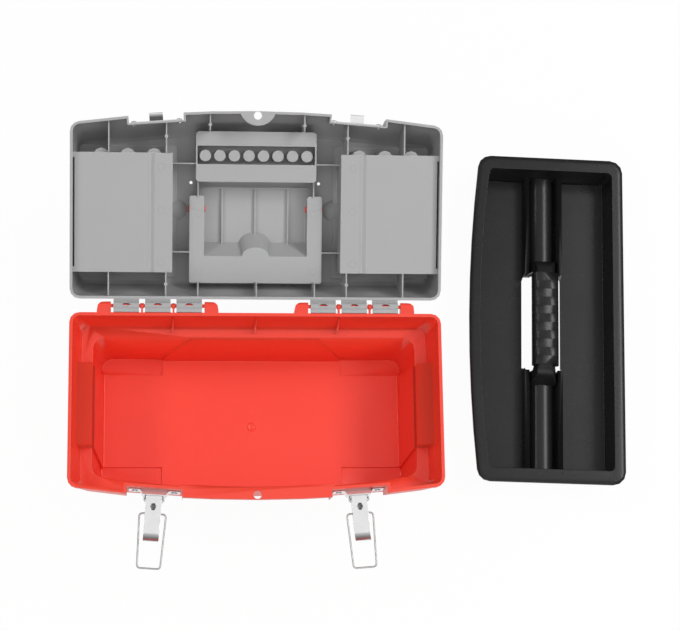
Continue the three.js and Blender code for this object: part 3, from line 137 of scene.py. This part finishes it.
class Tree:
    """A node tree, and the one way in which nodes are added to it."""

    def __init__(self, nodes):
        self.nodes = nodes
        nodes.nodes.clear()

    def add(self, kind, settings=None, inputs=None):
        node = self.nodes.nodes.new(kind)
        for name, value in (settings or {}).items():
            setattr(node, name, value)
        pairs = enumerate(inputs) if isinstance(inputs, list) else (inputs or {}).items()
        for name, value in pairs:
            self.plug(node.inputs[name], value)
        return Made(self, node)

    def plug(self, socket, value):
        if isinstance(value, Wire):
            self.nodes.links.new(value.socket, socket)
        else:
            socket.default_value = value

    def ramp(self, factor, *stops):
        """A value that runs from stop to stop, as a number."""
        made = self.add("ShaderNodeValToRGB", inputs={"Fac": factor})
        elements = made.node.color_ramp.elements
        while len(elements) < len(stops):
            elements.new(0.5)
        for element, (position, level) in zip(elements, stops):
            element.position = position
            element.color = (level, level, level, 1.0)
        return made.wire(0)


class Finish(Tree):
    """One material and the nodes that make it."""

    def __init__(self, name):
        self.material = bpy.data.materials.new(name)
        self.material.use_nodes = True
        super().__init__(self.material.node_tree)
        self.surface = self.add("ShaderNodeBsdfPrincipled")
        self.output = self.add("ShaderNodeOutputMaterial", inputs={"Surface": self.surface.wire(0)})
        self.place = self.add("ShaderNodeTexCoord").wire("Object")

    def put(self, **sockets):
        for name, value in sockets.items():
            self.plug(self.surface.node.inputs[name.replace("_", " ")], value)

    def noise(self, scale, detail=2.0, roughness=0.5, stretch=None):
        at = self.place
        if stretch:
            inputs = {"Vector": self.place, "Scale": stretch}
            at = self.add("ShaderNodeMapping", inputs=inputs).wire(0)
        inputs = {"Vector": at, "Scale": scale, "Detail": detail, "Roughness": roughness}
        return self.add("ShaderNodeTexNoise", inputs=inputs).wire(0)

    def blend(self, factor, first, second):
        """A mix of two colours, each a plain colour or a wire."""
        inputs = {"Factor": factor, 6: first, 7: second}
        return self.add("ShaderNodeMix", {"data_type": "RGBA"}, inputs).wire(2)

    def bump(self, height, strength, normal):
        inputs = {"Height": height, "Strength": strength, "Distance": 0.3 * MM, "Normal": normal}
        return self.add("ShaderNodeBump", inputs=inputs).wire(0)

    def eased_edges(self, radius):
        return self.add("ShaderNodeBevel", {"samples": 4}, {"Radius": radius}).wire(0)

    def edge_wear_and_highlight(self, eased, sharpness):
        """How much an eased edge turns away from its face: 0 on the flats."""
        flat = self.add("ShaderNodeNewGeometry").wire("Normal")
        product = self.add("ShaderNodeVectorMath", {"operation": "DOT_PRODUCT"}, [eased, flat])
        return ((1.0 - product.wire("Value")) * sharpness).clamped()


class Recipe(Tree):
    """A Geometry Nodes tree with named sizes, which turns a simple mesh into a finished one."""

    def __init__(self, name, **sizes):
        group = bpy.data.node_groups.new(name, "GeometryNodeTree")
        super().__init__(group)
        sockets = {"Geometry": "Geometry", **sizes, "Finish": "Material"}
        for label, kind in sockets.items():
            group.interface.new_socket(label, in_out="INPUT", socket_type="NodeSocket" + kind)
        group.interface.new_socket("Geometry", in_out="OUTPUT", socket_type="NodeSocketGeometry")
        self.given = self.add("NodeGroupInput")

    def end(self, shape):
        smooth = self.add("GeometryNodeSetShadeSmooth", inputs={"Geometry": shape}).wire(0)
        real = self.add("GeometryNodeRealizeInstances", inputs={"Geometry": smooth}).wire(0)
        inputs = {"Geometry": real, "Material": self.given.wire("Finish")}
        dressed = self.add("GeometryNodeSetMaterial", inputs=inputs).wire(0)
        self.add("NodeGroupOutput", inputs=[dressed])

    def make(self, name, start, **sizes):
        """A plain mesh object from this recipe."""
        seed = placed(name + "_start", start)
        recipe = seed.modifiers.new("recipe", "NODES")
        recipe.node_group = self.nodes
        for item in self.nodes.interface.items_tree:
            if item.in_out == "INPUT" and item.name in sizes:
                recipe[item.identifier] = sizes[item.name]
        graph = bpy.context.evaluated_depsgraph_get()
        mesh = bpy.data.meshes.new_from_object(seed.evaluated_get(graph))
        mesh.name = name
        bpy.data.objects.remove(seed)
        return placed(name, mesh)


# ---- Finishes -------------------------------------------------------------------------
GRAIN_DEPTH = 0.06
EJECTOR_RADIUS = 3.6 * MM
EJECTOR_WIDTH = 0.5 * MM
EJECTOR_DEPTH = 0.9
EJECTOR_LEVEL = 35.0 * MM  # with the lid shut, only faces lower than this over the hinge have marks
LID_MIDDLE = 104.5  # mm from the hinge
RIGHT_PINS = ((64, 68), (64, 4), (106, 58), (106, 0), (106, -48))  # mm from the lid's middle
EJECTOR_PINS = [
    (side * x * MM, (y - LID_MIDDLE) * MM) for side in (-1, 1) for x, y in RIGHT_PINS
]


def ejector_marks(finish):
    """The round marks of the ejector pins on the inside of the lid, as a height."""
    inputs = {"Vector": finish.place, "Location": HINGE, "Rotation": (-LID_OPEN, 0.0, 0.0)}
    shut = finish.add("ShaderNodeMapping", {"vector_type": "TEXTURE"}, inputs).wire(0)
    split = finish.add("ShaderNodeSeparateXYZ", inputs=[shut])
    x, y, level = (split.wire(axis) for axis in range(3))
    total = 0.0
    for pin_x, pin_y in EJECTOR_PINS:
        reach = ((x - pin_x) ** 2.0 + (y - pin_y) ** 2.0) ** 0.5
        total = total + (1.0 - abs(reach - EJECTOR_RADIUS) / EJECTOR_WIDTH).clamped()
    return total * level.below(EJECTOR_LEVEL) * EJECTOR_DEPTH


def moulded_plastic(name, colour, deep, worn_and_lit, roughness, edge, gloss, marks=None):
    """Moulded plastic: flow shading, fine spark-eroded grain, eased edges painted pale, partly as wear and partly
    as a painted highlight.
    """
    finish = Finish(name)
    flow = finish.noise(7.0, detail=3.0, roughness=0.55, stretch=(1.0, 1.7, 1.0))
    mottle = finish.noise(110.0)
    eased = finish.eased_edges(edge)
    # pale eased edges in the base colour: partly wear, partly a painted highlight along every edge
    wear_and_highlight = finish.edge_wear_and_highlight(eased, 3.2) * (mottle * 0.4 + 0.5)
    body = finish.blend((flow * 0.7 + mottle * 0.3).clamped(), rgba(deep), rgba(colour))
    height = finish.noise(2400.0, detail=3.0, roughness=0.6) * GRAIN_DEPTH
    if marks:
        height = height - marks(finish)
    finish.put(
        Base_Color=finish.blend(wear_and_highlight, body, rgba(worn_and_lit)),
        Roughness=roughness - 0.05 + flow * 0.08 + mottle * 0.04,
        Metallic=0.0,
        IOR=1.49,
        Specular_IOR_Level=gloss,
        Normal=finish.bump(height, 1.0, eased),
    )
    return finish.material


def plated_steel(name, colour, dull, roughness, edge):
    """Bright nickel plate over pressed steel: soft waviness, drawing lines and dull specks."""
    finish = Finish(name)
    wave = finish.noise(70.0)
    lines = finish.noise(1100.0, roughness=0.6, stretch=(1.0, 0.06, 1.0))
    pits = finish.noise(420.0, detail=3.0, roughness=0.65)
    specks = finish.ramp(pits, (0.60, 0.0), (0.72, 1.0))
    finish.put(
        Base_Color=finish.blend((wave * 0.6 + specks * 0.5).clamped(), rgba(colour), rgba(dull)),
        Roughness=roughness - 0.04 + wave * 0.06 + lines * 0.06 + specks * 0.06,
        Metallic=1.0,
        Normal=finish.bump(wave * 0.7 + lines * 0.3, 0.2, finish.eased_edges(edge)),
    )
    return finish.material


# the pale edge colour of each finish is partly wear and partly a painted highlight
RED = moulded_plastic(
    "red_moulding",
    colour=(0.90, 0.060, 0.030),
    deep=(0.84, 0.046, 0.024),
    worn_and_lit=(0.93, 0.24, 0.17),
    roughness=0.35,
    edge=0.9 * MM,
    gloss=0.45,
)
GREY = moulded_plastic(
    "grey_moulding",
    colour=(0.405, 0.405, 0.407),
    deep=(0.380, 0.380, 0.384),
    worn_and_lit=(0.74, 0.74, 0.74),
    roughness=0.46,
    edge=1.0 * MM,
    gloss=0.35,
    marks=ejector_marks,
)
BLACK = moulded_plastic(
    "black_moulding",
    colour=(0.016, 0.016, 0.017),
    deep=(0.011, 0.011, 0.012),
    worn_and_lit=(0.07, 0.07, 0.071),
    roughness=0.26,
    edge=1.0 * MM,
    gloss=0.28,
)
NICKEL = plated_steel("nickel_plate", (0.74, 0.74, 0.745), (0.57, 0.57, 0.57), 0.20, 0.4 * MM)
WIRE_STEEL = plated_steel("drawn_wire", (0.52, 0.52, 0.525), (0.40, 0.40, 0.40), 0.44, 0.2 * MM)
# the dark steel of the cups under the levers' holes is painted shade inside the holes
HOLE_SHADE_STEEL = plated_steel("spring_steel", (0.16, 0.16, 0.16), (0.10, 0.10, 0.10), 0.40, 0.2 * MM)
MATERIAL_OF_SLOT = {
    "red_plastic": RED,
    "grey_plastic": GREY,
    "black_plastic": BLACK,
    "nickel_steel": NICKEL,
}


# ---- Pieces from the solids ---------------------------------------------------------------
SAME_PLACE = 0.001 * MM
SAME_PLANE = math.radians(0.4)
FOLD_ANGLE = math.radians(23.5)
FLAT_AREA = 150 * MM * MM


def settle(piece, body, slot, *nodes):
    """Hang a finished piece on the body it rides on and hide the solids it stands for; the slot is not used."""
    if nodes:
        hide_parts(*nodes)
    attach(piece, body)


def fair_copy(node, smooth_angle=38.0, ease=None):
    """A solid's copy with its flat faces whole again: smooth over rounds, sharp at corners.

    A large flat of the lid also keeps its folds sharp, so that it isn't shaded like a round.
    """
    mesh = frame["nodes"][node].data.copy()
    mesh.name = "fair_" + node
    work = bmesh.new()
    work.from_mesh(mesh)
    bmesh.ops.remove_doubles(work, verts=work.verts, dist=SAME_PLACE)
    bmesh.ops.dissolve_limit(work, angle_limit=SAME_PLANE, verts=work.verts, edges=work.edges)
    if ease:
        ease(work)
    work.edges.index_update()
    folds = [
        edge.index
        for edge in work.edges
        if node == "lid_shell"
        and edge.calc_face_angle(0.0) > FOLD_ANGLE
        and any(face.calc_area() > FLAT_AREA for face in edge.link_faces)
    ]
    work.to_mesh(mesh)
    work.free()
    mesh.materials.clear()
    mesh.materials.append(MATERIAL_OF_SLOT[SLOT_OF[node]])
    mesh.shade_smooth()
    mesh.set_sharp_from_angle(angle=math.radians(smooth_angle))
    for index in folds:
        mesh.edges[index].use_edge_sharp = True
    piece = placed("fair_" + node, mesh)
    weighted = piece.modifiers.new("flats", "WEIGHTED_NORMAL")
    weighted.keep_sharp = True
    settle(piece, BODY_OF[node], SLOT_OF[node], node)


def lathed(name, profile, sides, material):
    """A closed turned mesh from (radius, height) points, about +Z."""
    mesh = bpy.data.meshes.new(name)
    work = bmesh.new()
    verts = [work.verts.new((radius, 0.0, height)) for radius, height in profile]
    edges = [work.edges.new(pair) for pair in zip(verts, verts[1:])]
    bmesh.ops.spin(
        work,
        geom=verts + edges,
        cent=(0, 0, 0),
        axis=(0, 0, 1),
        angle=2 * math.pi,
        steps=sides,
        use_merge=True,
    )
    bmesh.ops.remove_doubles(work, verts=work.verts, dist=SAME_PLACE)
    bmesh.ops.recalc_face_normals(work, faces=work.faces)
    work.to_mesh(mesh)
    work.free()
    mesh.materials.append(material)
    return mesh


# ---- Gate of the base -----------------------------------------------------------------------
GATE_PLACE = Vector((-0.4, -7.1, 5.6)) * MM  # on top of the floor
GATE_LINE = (
    (5.2, -0.3),
    (5.2, 0.02),
    (4.5, 0.55),
    (3.8, 0.70),
    (3.0, 0.25),
    (2.1, 0.10),
    (1.5, 0.12),
    (1.1, 0.60),
    (0.0, 0.70),
    (0.0, -0.3),
)


def gate_mark():
    """The trimmed gate in the middle of the base's floor, inside a low ring."""
    profile = [(radius * MM, height * MM) for radius, height in GATE_LINE]
    mark = lathed("gate_mark", profile, 28, RED)
    mark.transform(Matrix.Translation(GATE_PLACE))
    mark.shade_smooth()
    settle(placed("gate_mark", mark), BODY_OF["base_shell"], "red_plastic")


# ---- Latches ------------------------------------------------------------------------------
SHEET = 1.1 * MM
LEVER_WIDTH = 17.0 * MM
LEVER_TOP = 5.7 * MM  # from the pivot to the outside of the web
LEVER_BEND = 2.2 * MM
LEVER_HOLE_DROP = 8.7 * MM
LEVER_HOLE_LONG = 8.8 * MM
LEVER_HOLE_WIDE = 6.4 * MM
CUP_RIM = 3.9 * MM
CUP_DEPTH = 2.6 * MM
CUP_SHEET = 0.4 * MM
CUP_GAP = 0.05 * MM
CUP_LINE = ((1.0, 0.0), (0.96, 0.45), (0.80, 0.85), (0.45, 1.0), (0.0, 1.0))  # of rim, of depth
BAIL = {"length": 59.85, "top": 31.0, "end": 27.0, "wire": 2.0, "bend": 3.5, "tail": 2.6}  # mm
BAIL_LEAN = math.atan2(2.9, 60.0)


def latch_axes(side):
    """Pivot, direction across the latch and direction out of the box."""
    joint = JOINT["latch_lever_" + side]
    across = Vector(joint["axis"]).normalized()
    return Vector(joint["pos_m"]), across, Vector((across.y, -across.x, 0.0))


def pressed_lever(side):
    """The lever's copy, with the two long bends of its channel rounded."""
    pivot, across, _ = latch_axes(side)

    def is_long_bend(edge):
        ends = [vert.co - pivot for vert in edge.verts]
        on_side = all(abs(abs(end.dot(across)) - LEVER_WIDTH / 2) < 0.01 * MM for end in ends)
        if not on_side or len(edge.link_faces) != 2:
            return False
        normals = [face.normal for face in edge.link_faces]
        between_side = any(abs(normal.dot(across)) > 0.99 for normal in normals)
        and_top = any(normal.z > 0.15 and abs(normal.dot(across)) < 0.1 for normal in normals)
        return between_side and and_top and all(end.z > -2.0 * MM for end in ends)

    def round_bends(work):
        bmesh.ops.bevel(
            work,
            geom=[edge for edge in work.edges if is_long_bend(edge)],
            offset=LEVER_BEND,
            segments=4,
            profile=0.5,
            affect="EDGES",
            clamp_overlap=True,
        )

    fair_copy("latch_lever_" + side, 40.0, round_bends)


def shaded_hole_cup(side):
    """The pressed cup under the hole of a lever, in dark steel: painted shade that makes the hole look deep."""
    pivot, across, out = latch_axes(side)
    inside = [(share * CUP_RIM, -depth * CUP_DEPTH) for share, depth in CUP_LINE]
    outside = [
        (radius + CUP_SHEET if radius else 0.0, height - CUP_SHEET) for radius, height in inside
    ]
    profile = inside[::-1] + [(CUP_RIM + CUP_SHEET, 0.0)] + outside
    cup = lathed("spring_cup_" + side, profile, 24, HOLE_SHADE_STEEL)
    oval = Matrix.Diagonal((1.0, LEVER_HOLE_LONG / LEVER_HOLE_WIDE, 1.0, 1.0))
    turn = Matrix((across, out, (0.0, 0.0, 1.0))).transposed().to_4x4()
    under_web = Vector((0.0, 0.0, LEVER_TOP - SHEET - CUP_GAP))
    middle = pivot + out * LEVER_HOLE_DROP + under_web
    cup.transform(Matrix.Translation(middle) @ turn @ oval)
    cup.shade_smooth()
    piece = placed("spring_cup_" + side, cup)
    settle(piece, BODY_OF["latch_lever_" + side], "nickel_steel")


def bent_wire_recipe():
    """A round wire along a line, with its corners bent to a radius and its ends closed."""
    recipe = Recipe("bent_wire", **{"Wire Radius": "Float", "Bend Radius": "Float"})
    given = recipe.given
    line = recipe.add("GeometryNodeMeshToCurve", inputs={"Mesh": given.wire("Geometry")}).wire(0)
    bends = {"Curve": line, "Radius": given.wire("Bend Radius"), "Count": 6, "Limit Radius": True}
    bent = recipe.add("GeometryNodeFilletCurve", {"mode": "POLY"}, bends).wire(0)
    ring = {"Resolution": 14, "Radius": given.wire("Wire Radius")}
    section = recipe.add("GeometryNodeCurvePrimitiveCircle", inputs=ring).wire(0)
    sweep = {"Curve": bent, "Profile Curve": section, "Fill Caps": True}
    recipe.end(recipe.add("GeometryNodeCurveToMesh", inputs=sweep).wire(0))
    return recipe


def wire_bail(side, recipe):
    """A bail: up one side, across its end, down the other, and two tails into the lever."""
    _, across, out = latch_axes(side)
    foot = Vector(JOINT["latch_bail_" + side]["pos_m"])
    along = out * math.cos(BAIL_LEAN) + Vector((0.0, 0.0, math.sin(BAIL_LEAN)))
    top = (BAIL["top"] - BAIL["wire"]) / 2
    end = (BAIL["end"] - BAIL["wire"]) / 2
    tail = LEVER_WIDTH / MM / 2 - BAIL["tail"]
    far = BAIL["length"]
    line = [(tail, 0), (top, 0), (end, far), (-end, far), (-top, 0), (-tail, 0)]
    points = [foot + across * (x * MM) + along * (t * MM) for x, t in line]
    start = bpy.data.meshes.new("bail_line")
    start.from_pydata(points, [(i, i + 1) for i in range(len(points) - 1)], [])
    sizes = {"Wire Radius": BAIL["wire"] * MM / 2, "Bend Radius": BAIL["bend"] * MM}
    piece = recipe.make("wire_bail_" + side, start, Finish=WIRE_STEEL, **sizes)
    piece.data.set_sharp_from_angle(angle=math.radians(50.0))
    settle(piece, "bail_" + side, "nickel_steel", "latch_bail_" + side)


# ---- Rivets ---------------------------------------------------------------------------------
BASE_WALL = 3.0 * MM
LID_WALL = 1.8 * MM
RIVET_HEAD = 3.3 * MM
RIVET_SHANK = 1.5 * MM
RIVET_OUT = 3.1 * MM  # from the wall's face to the top of the dome
RIVET_FOOT = 0.8 * MM
RIVET_GAP = 0.3 * MM  # from the wall's inner face to the foot
DOME_HEIGHT = 1.4 * MM
DOME_LINE = (  # share of the head's radius, height in mm
    (1.0, 0.0),
    (1.0, 0.25),
    (0.88, 0.75),
    (0.62, 1.2),
    (0.36, 1.4),
    (0.30, 1.25),
    (0.0, 1.15),
)


def rivet_recipe():
    """One rivet at each point of a mesh, turned to the direction stored there."""
    recipe = Recipe("rivets", Rivet="Object")
    pattern = recipe.add("GeometryNodeObjectInfo", inputs={"Object": recipe.given.wire("Rivet")})
    stored = {"data_type": "FLOAT_VECTOR"}
    facing = recipe.add("GeometryNodeInputNamedAttribute", stored, {"Name": "facing"})
    vector = {"Vector": facing.wire("Attribute")}
    turn = recipe.add("FunctionNodeAlignRotationToVector", {"axis": "Z"}, vector)
    spread = {
        "Points": recipe.given.wire("Geometry"),
        "Instance": pattern.wire("Geometry"),
        "Rotation": turn.wire(0),
    }
    recipe.end(recipe.add("GeometryNodeInstanceOnPoints", inputs=spread).wire(0))
    return recipe


def rivets(word, body, wall, recipe, turned_with_lid):
    """The domed tubular rivets that hold the latch plates to one shell."""
    low = -(wall + RIVET_GAP + RIVET_FOOT)
    dome = RIVET_OUT - DOME_HEIGHT
    foot_and_shank = [
        (0.0, low),
        (RIVET_HEAD * 0.9, low),
        (RIVET_HEAD, low + 0.2 * MM),
        (RIVET_HEAD, low + RIVET_FOOT),
        (RIVET_SHANK, low + RIVET_FOOT),
        (RIVET_SHANK, dome),
    ]
    head = [(RIVET_HEAD * share, dome + height * MM) for share, height in DOME_LINE]
    pattern_mesh = lathed(word + "_pattern", foot_and_shank + head, 20, NICKEL)
    pattern = placed(word + "_pattern", pattern_mesh)
    places, facings, nodes = [], [], []
    middle = (RIVET_OUT + low) / 2
    for side in SIDES:
        out = latch_axes(side)[2]
        if turned_with_lid:
            out = Matrix.Rotation(-LID_OPEN, 3, "X") @ out
        for end in "ab":
            node = f"{word}_{side}_{end}"
            corner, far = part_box(node)
            places.append((corner + far) / 2 - out * middle)
            facings.append(out)
            nodes.append(node)
    start = bpy.data.meshes.new(word + "_places")
    start.from_pydata(places, [], [])
    facing = start.attributes.new("facing", "FLOAT_VECTOR", "POINT")
    facing.data.foreach_set("vector", [value for vector in facings for value in vector])
    piece = recipe.make(word + "s", start, Rivet=pattern, Finish=NICKEL)
    bpy.data.objects.remove(pattern)
    piece.data.set_sharp_from_angle(angle=math.radians(40.0))
    settle(piece, body, "nickel_steel", *nodes)


# ---- The toolbox ------------------------------------------------------------------------------
gate_mark()
wire = bent_wire_recipe()
for side in SIDES:
    pressed_lever(side)
    shaded_hole_cup(side)
    wire_bail(side, wire)
rivet = rivet_recipe()
rivets("bracket_rivet", "base", BASE_WALL, rivet, turned_with_lid=False)
rivets("strike_rivet", "lid", LID_WALL, rivet, turned_with_lid=True)

OWN_PIECES = ("latch_lever", "latch_bail", "bracket_rivet", "strike_rivet")
for node in frame["nodes"]:
    if not node.startswith(OWN_PIECES):
        fair_copy(node)


# ---- Floor, light and camera ----------------------------------------------------------
FLOOR_REACH = 6.0
FLOOR_GLOW = 0.965  # how far the seen floor is lifted towards white
FRONT_LEAN = 0.08  # how far the bright top of the studio leans to the front
STUDIO_GLOW = ((0.0, 0.16), (0.60, 0.30), (1.0, 0.70))  # from the horizon to overhead
LAMPS = {  # place, aim, size and power
    "key": ((1.6, 0.45, 2.3), (0.1, 0.1, 0.1), (1.6, 0.7), 32.0),
    "left_strip": ((-1.6, 0.4, 2.1), (0.1, 0.05, 0.1), (1.8, 0.35), 13.0),
    "front_fill": ((0.1, -2.2, 1.6), (0.1, 0.1, 0.1), (2.6, 1.2), 14.0),
    "head_fill": ((0.0, -0.3, 2.7), (0.05, 0.1, 0.1), (2.2, 2.2), 7.0),
}
CAMERA_ELEVATION = math.radians(75.40)
CAMERA_AZIMUTH = math.radians(-20.12)
CAMERA_ROLL = math.radians(19.82)
CAMERA_AIM = Vector((0.0925, 0.0952, 0.132))
CAMERA_REACH = 2.357
SENSOR = 36.0
LENS_SHARE = 2129.0 / 680.0  # focal length over the width of the sensor


def make_floor():
    low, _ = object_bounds()
    mesh = bpy.data.meshes.new("floor")
    corners = [
        (x * FLOOR_REACH, y * FLOOR_REACH, low[2]) for x, y in ((-1, -1), (1, -1), (1, 1), (-1, 1))
    ]
    mesh.from_pydata(corners, [], [(0, 1, 2, 3)])
    floor = placed("floor", mesh)
    finish = Finish("pale_floor")
    finish.put(Base_Color=rgba((0.86, 0.86, 0.86)), Roughness=0.9, Specular_IOR_Level=0.1)
    path = finish.add("ShaderNodeLightPath")
    rays = ("Is Camera Ray", "Is Glossy Ray", "Is Transmission Ray")
    seen = sum(path.wire(ray) for ray in rays).clamped()
    white = finish.add("ShaderNodeEmission", inputs={"Color": rgba((1, 1, 1)), "Strength": 1.0})
    inputs = [seen * FLOOR_GLOW, finish.surface.wire(0), white.wire(0)]
    mixed = finish.add("ShaderNodeMixShader", inputs=inputs)
    finish.plug(finish.output.node.inputs["Surface"], mixed.wire(0))
    floor.data.materials.append(finish.material)


def make_world():
    """A studio that is bright overhead, and a little brighter in front of the box than behind."""
    world = bpy.data.worlds.new("studio")
    bpy.context.scene.world = world
    world.use_nodes = True
    tree = Tree(world.node_tree)
    direction = tree.add("ShaderNodeTexCoord").wire("Generated")
    split = tree.add("ShaderNodeSeparateXYZ", inputs=[direction])
    glow = tree.ramp(split.wire("Z") - split.wire("Y") * FRONT_LEAN, *STUDIO_GLOW)
    white = rgba((1, 1, 1))
    fill = tree.add("ShaderNodeBackground", inputs={"Color": white, "Strength": glow})
    clear = tree.add("ShaderNodeBackground", inputs={"Color": white, "Strength": 1.0})
    seen = tree.add("ShaderNodeLightPath").wire("Is Camera Ray")
    mixed = tree.add("ShaderNodeMixShader", inputs=[seen, fill.wire(0), clear.wire(0)])
    tree.add("ShaderNodeOutputWorld", inputs={"Surface": mixed.wire(0)})


def softbox(name, place, aim, size, power):
    lamp = bpy.data.lights.new(name, "AREA")
    lamp.shape = "RECTANGLE"
    lamp.size, lamp.size_y = size
    lamp.energy = power
    holder = placed(name, lamp)
    holder.location = place
    holder.rotation_euler = (Vector(aim) - Vector(place)).to_track_quat("-Z", "Y").to_euler()


def make_camera():
    flat = Vector((-math.sin(CAMERA_AZIMUTH), math.cos(CAMERA_AZIMUTH), 0.0))
    level = Vector((math.cos(CAMERA_AZIMUTH), math.sin(CAMERA_AZIMUTH), 0.0))
    down = Vector((0.0, 0.0, -math.sin(CAMERA_ELEVATION)))
    look = flat * math.cos(CAMERA_ELEVATION) + down
    upward = level.cross(look)
    right = level * math.cos(CAMERA_ROLL) + upward * math.sin(CAMERA_ROLL)
    above = upward * math.cos(CAMERA_ROLL) - level * math.sin(CAMERA_ROLL)
    camera = bpy.data.cameras.new("camera")
    camera.sensor_width = SENSOR
    camera.lens = SENSOR * LENS_SHARE
    holder = placed("camera", camera)
    turn = Matrix((right, above, -look)).transposed().to_4x4()
    holder.matrix_world = Matrix.Translation(CAMERA_AIM - look * CAMERA_REACH) @ turn
    bpy.context.scene.camera = holder


make_floor()
make_world()
for name, setting in LAMPS.items():
    softbox(name, *setting)
make_camera()
bpy.context.scene.view_settings.view_transform = "Standard"
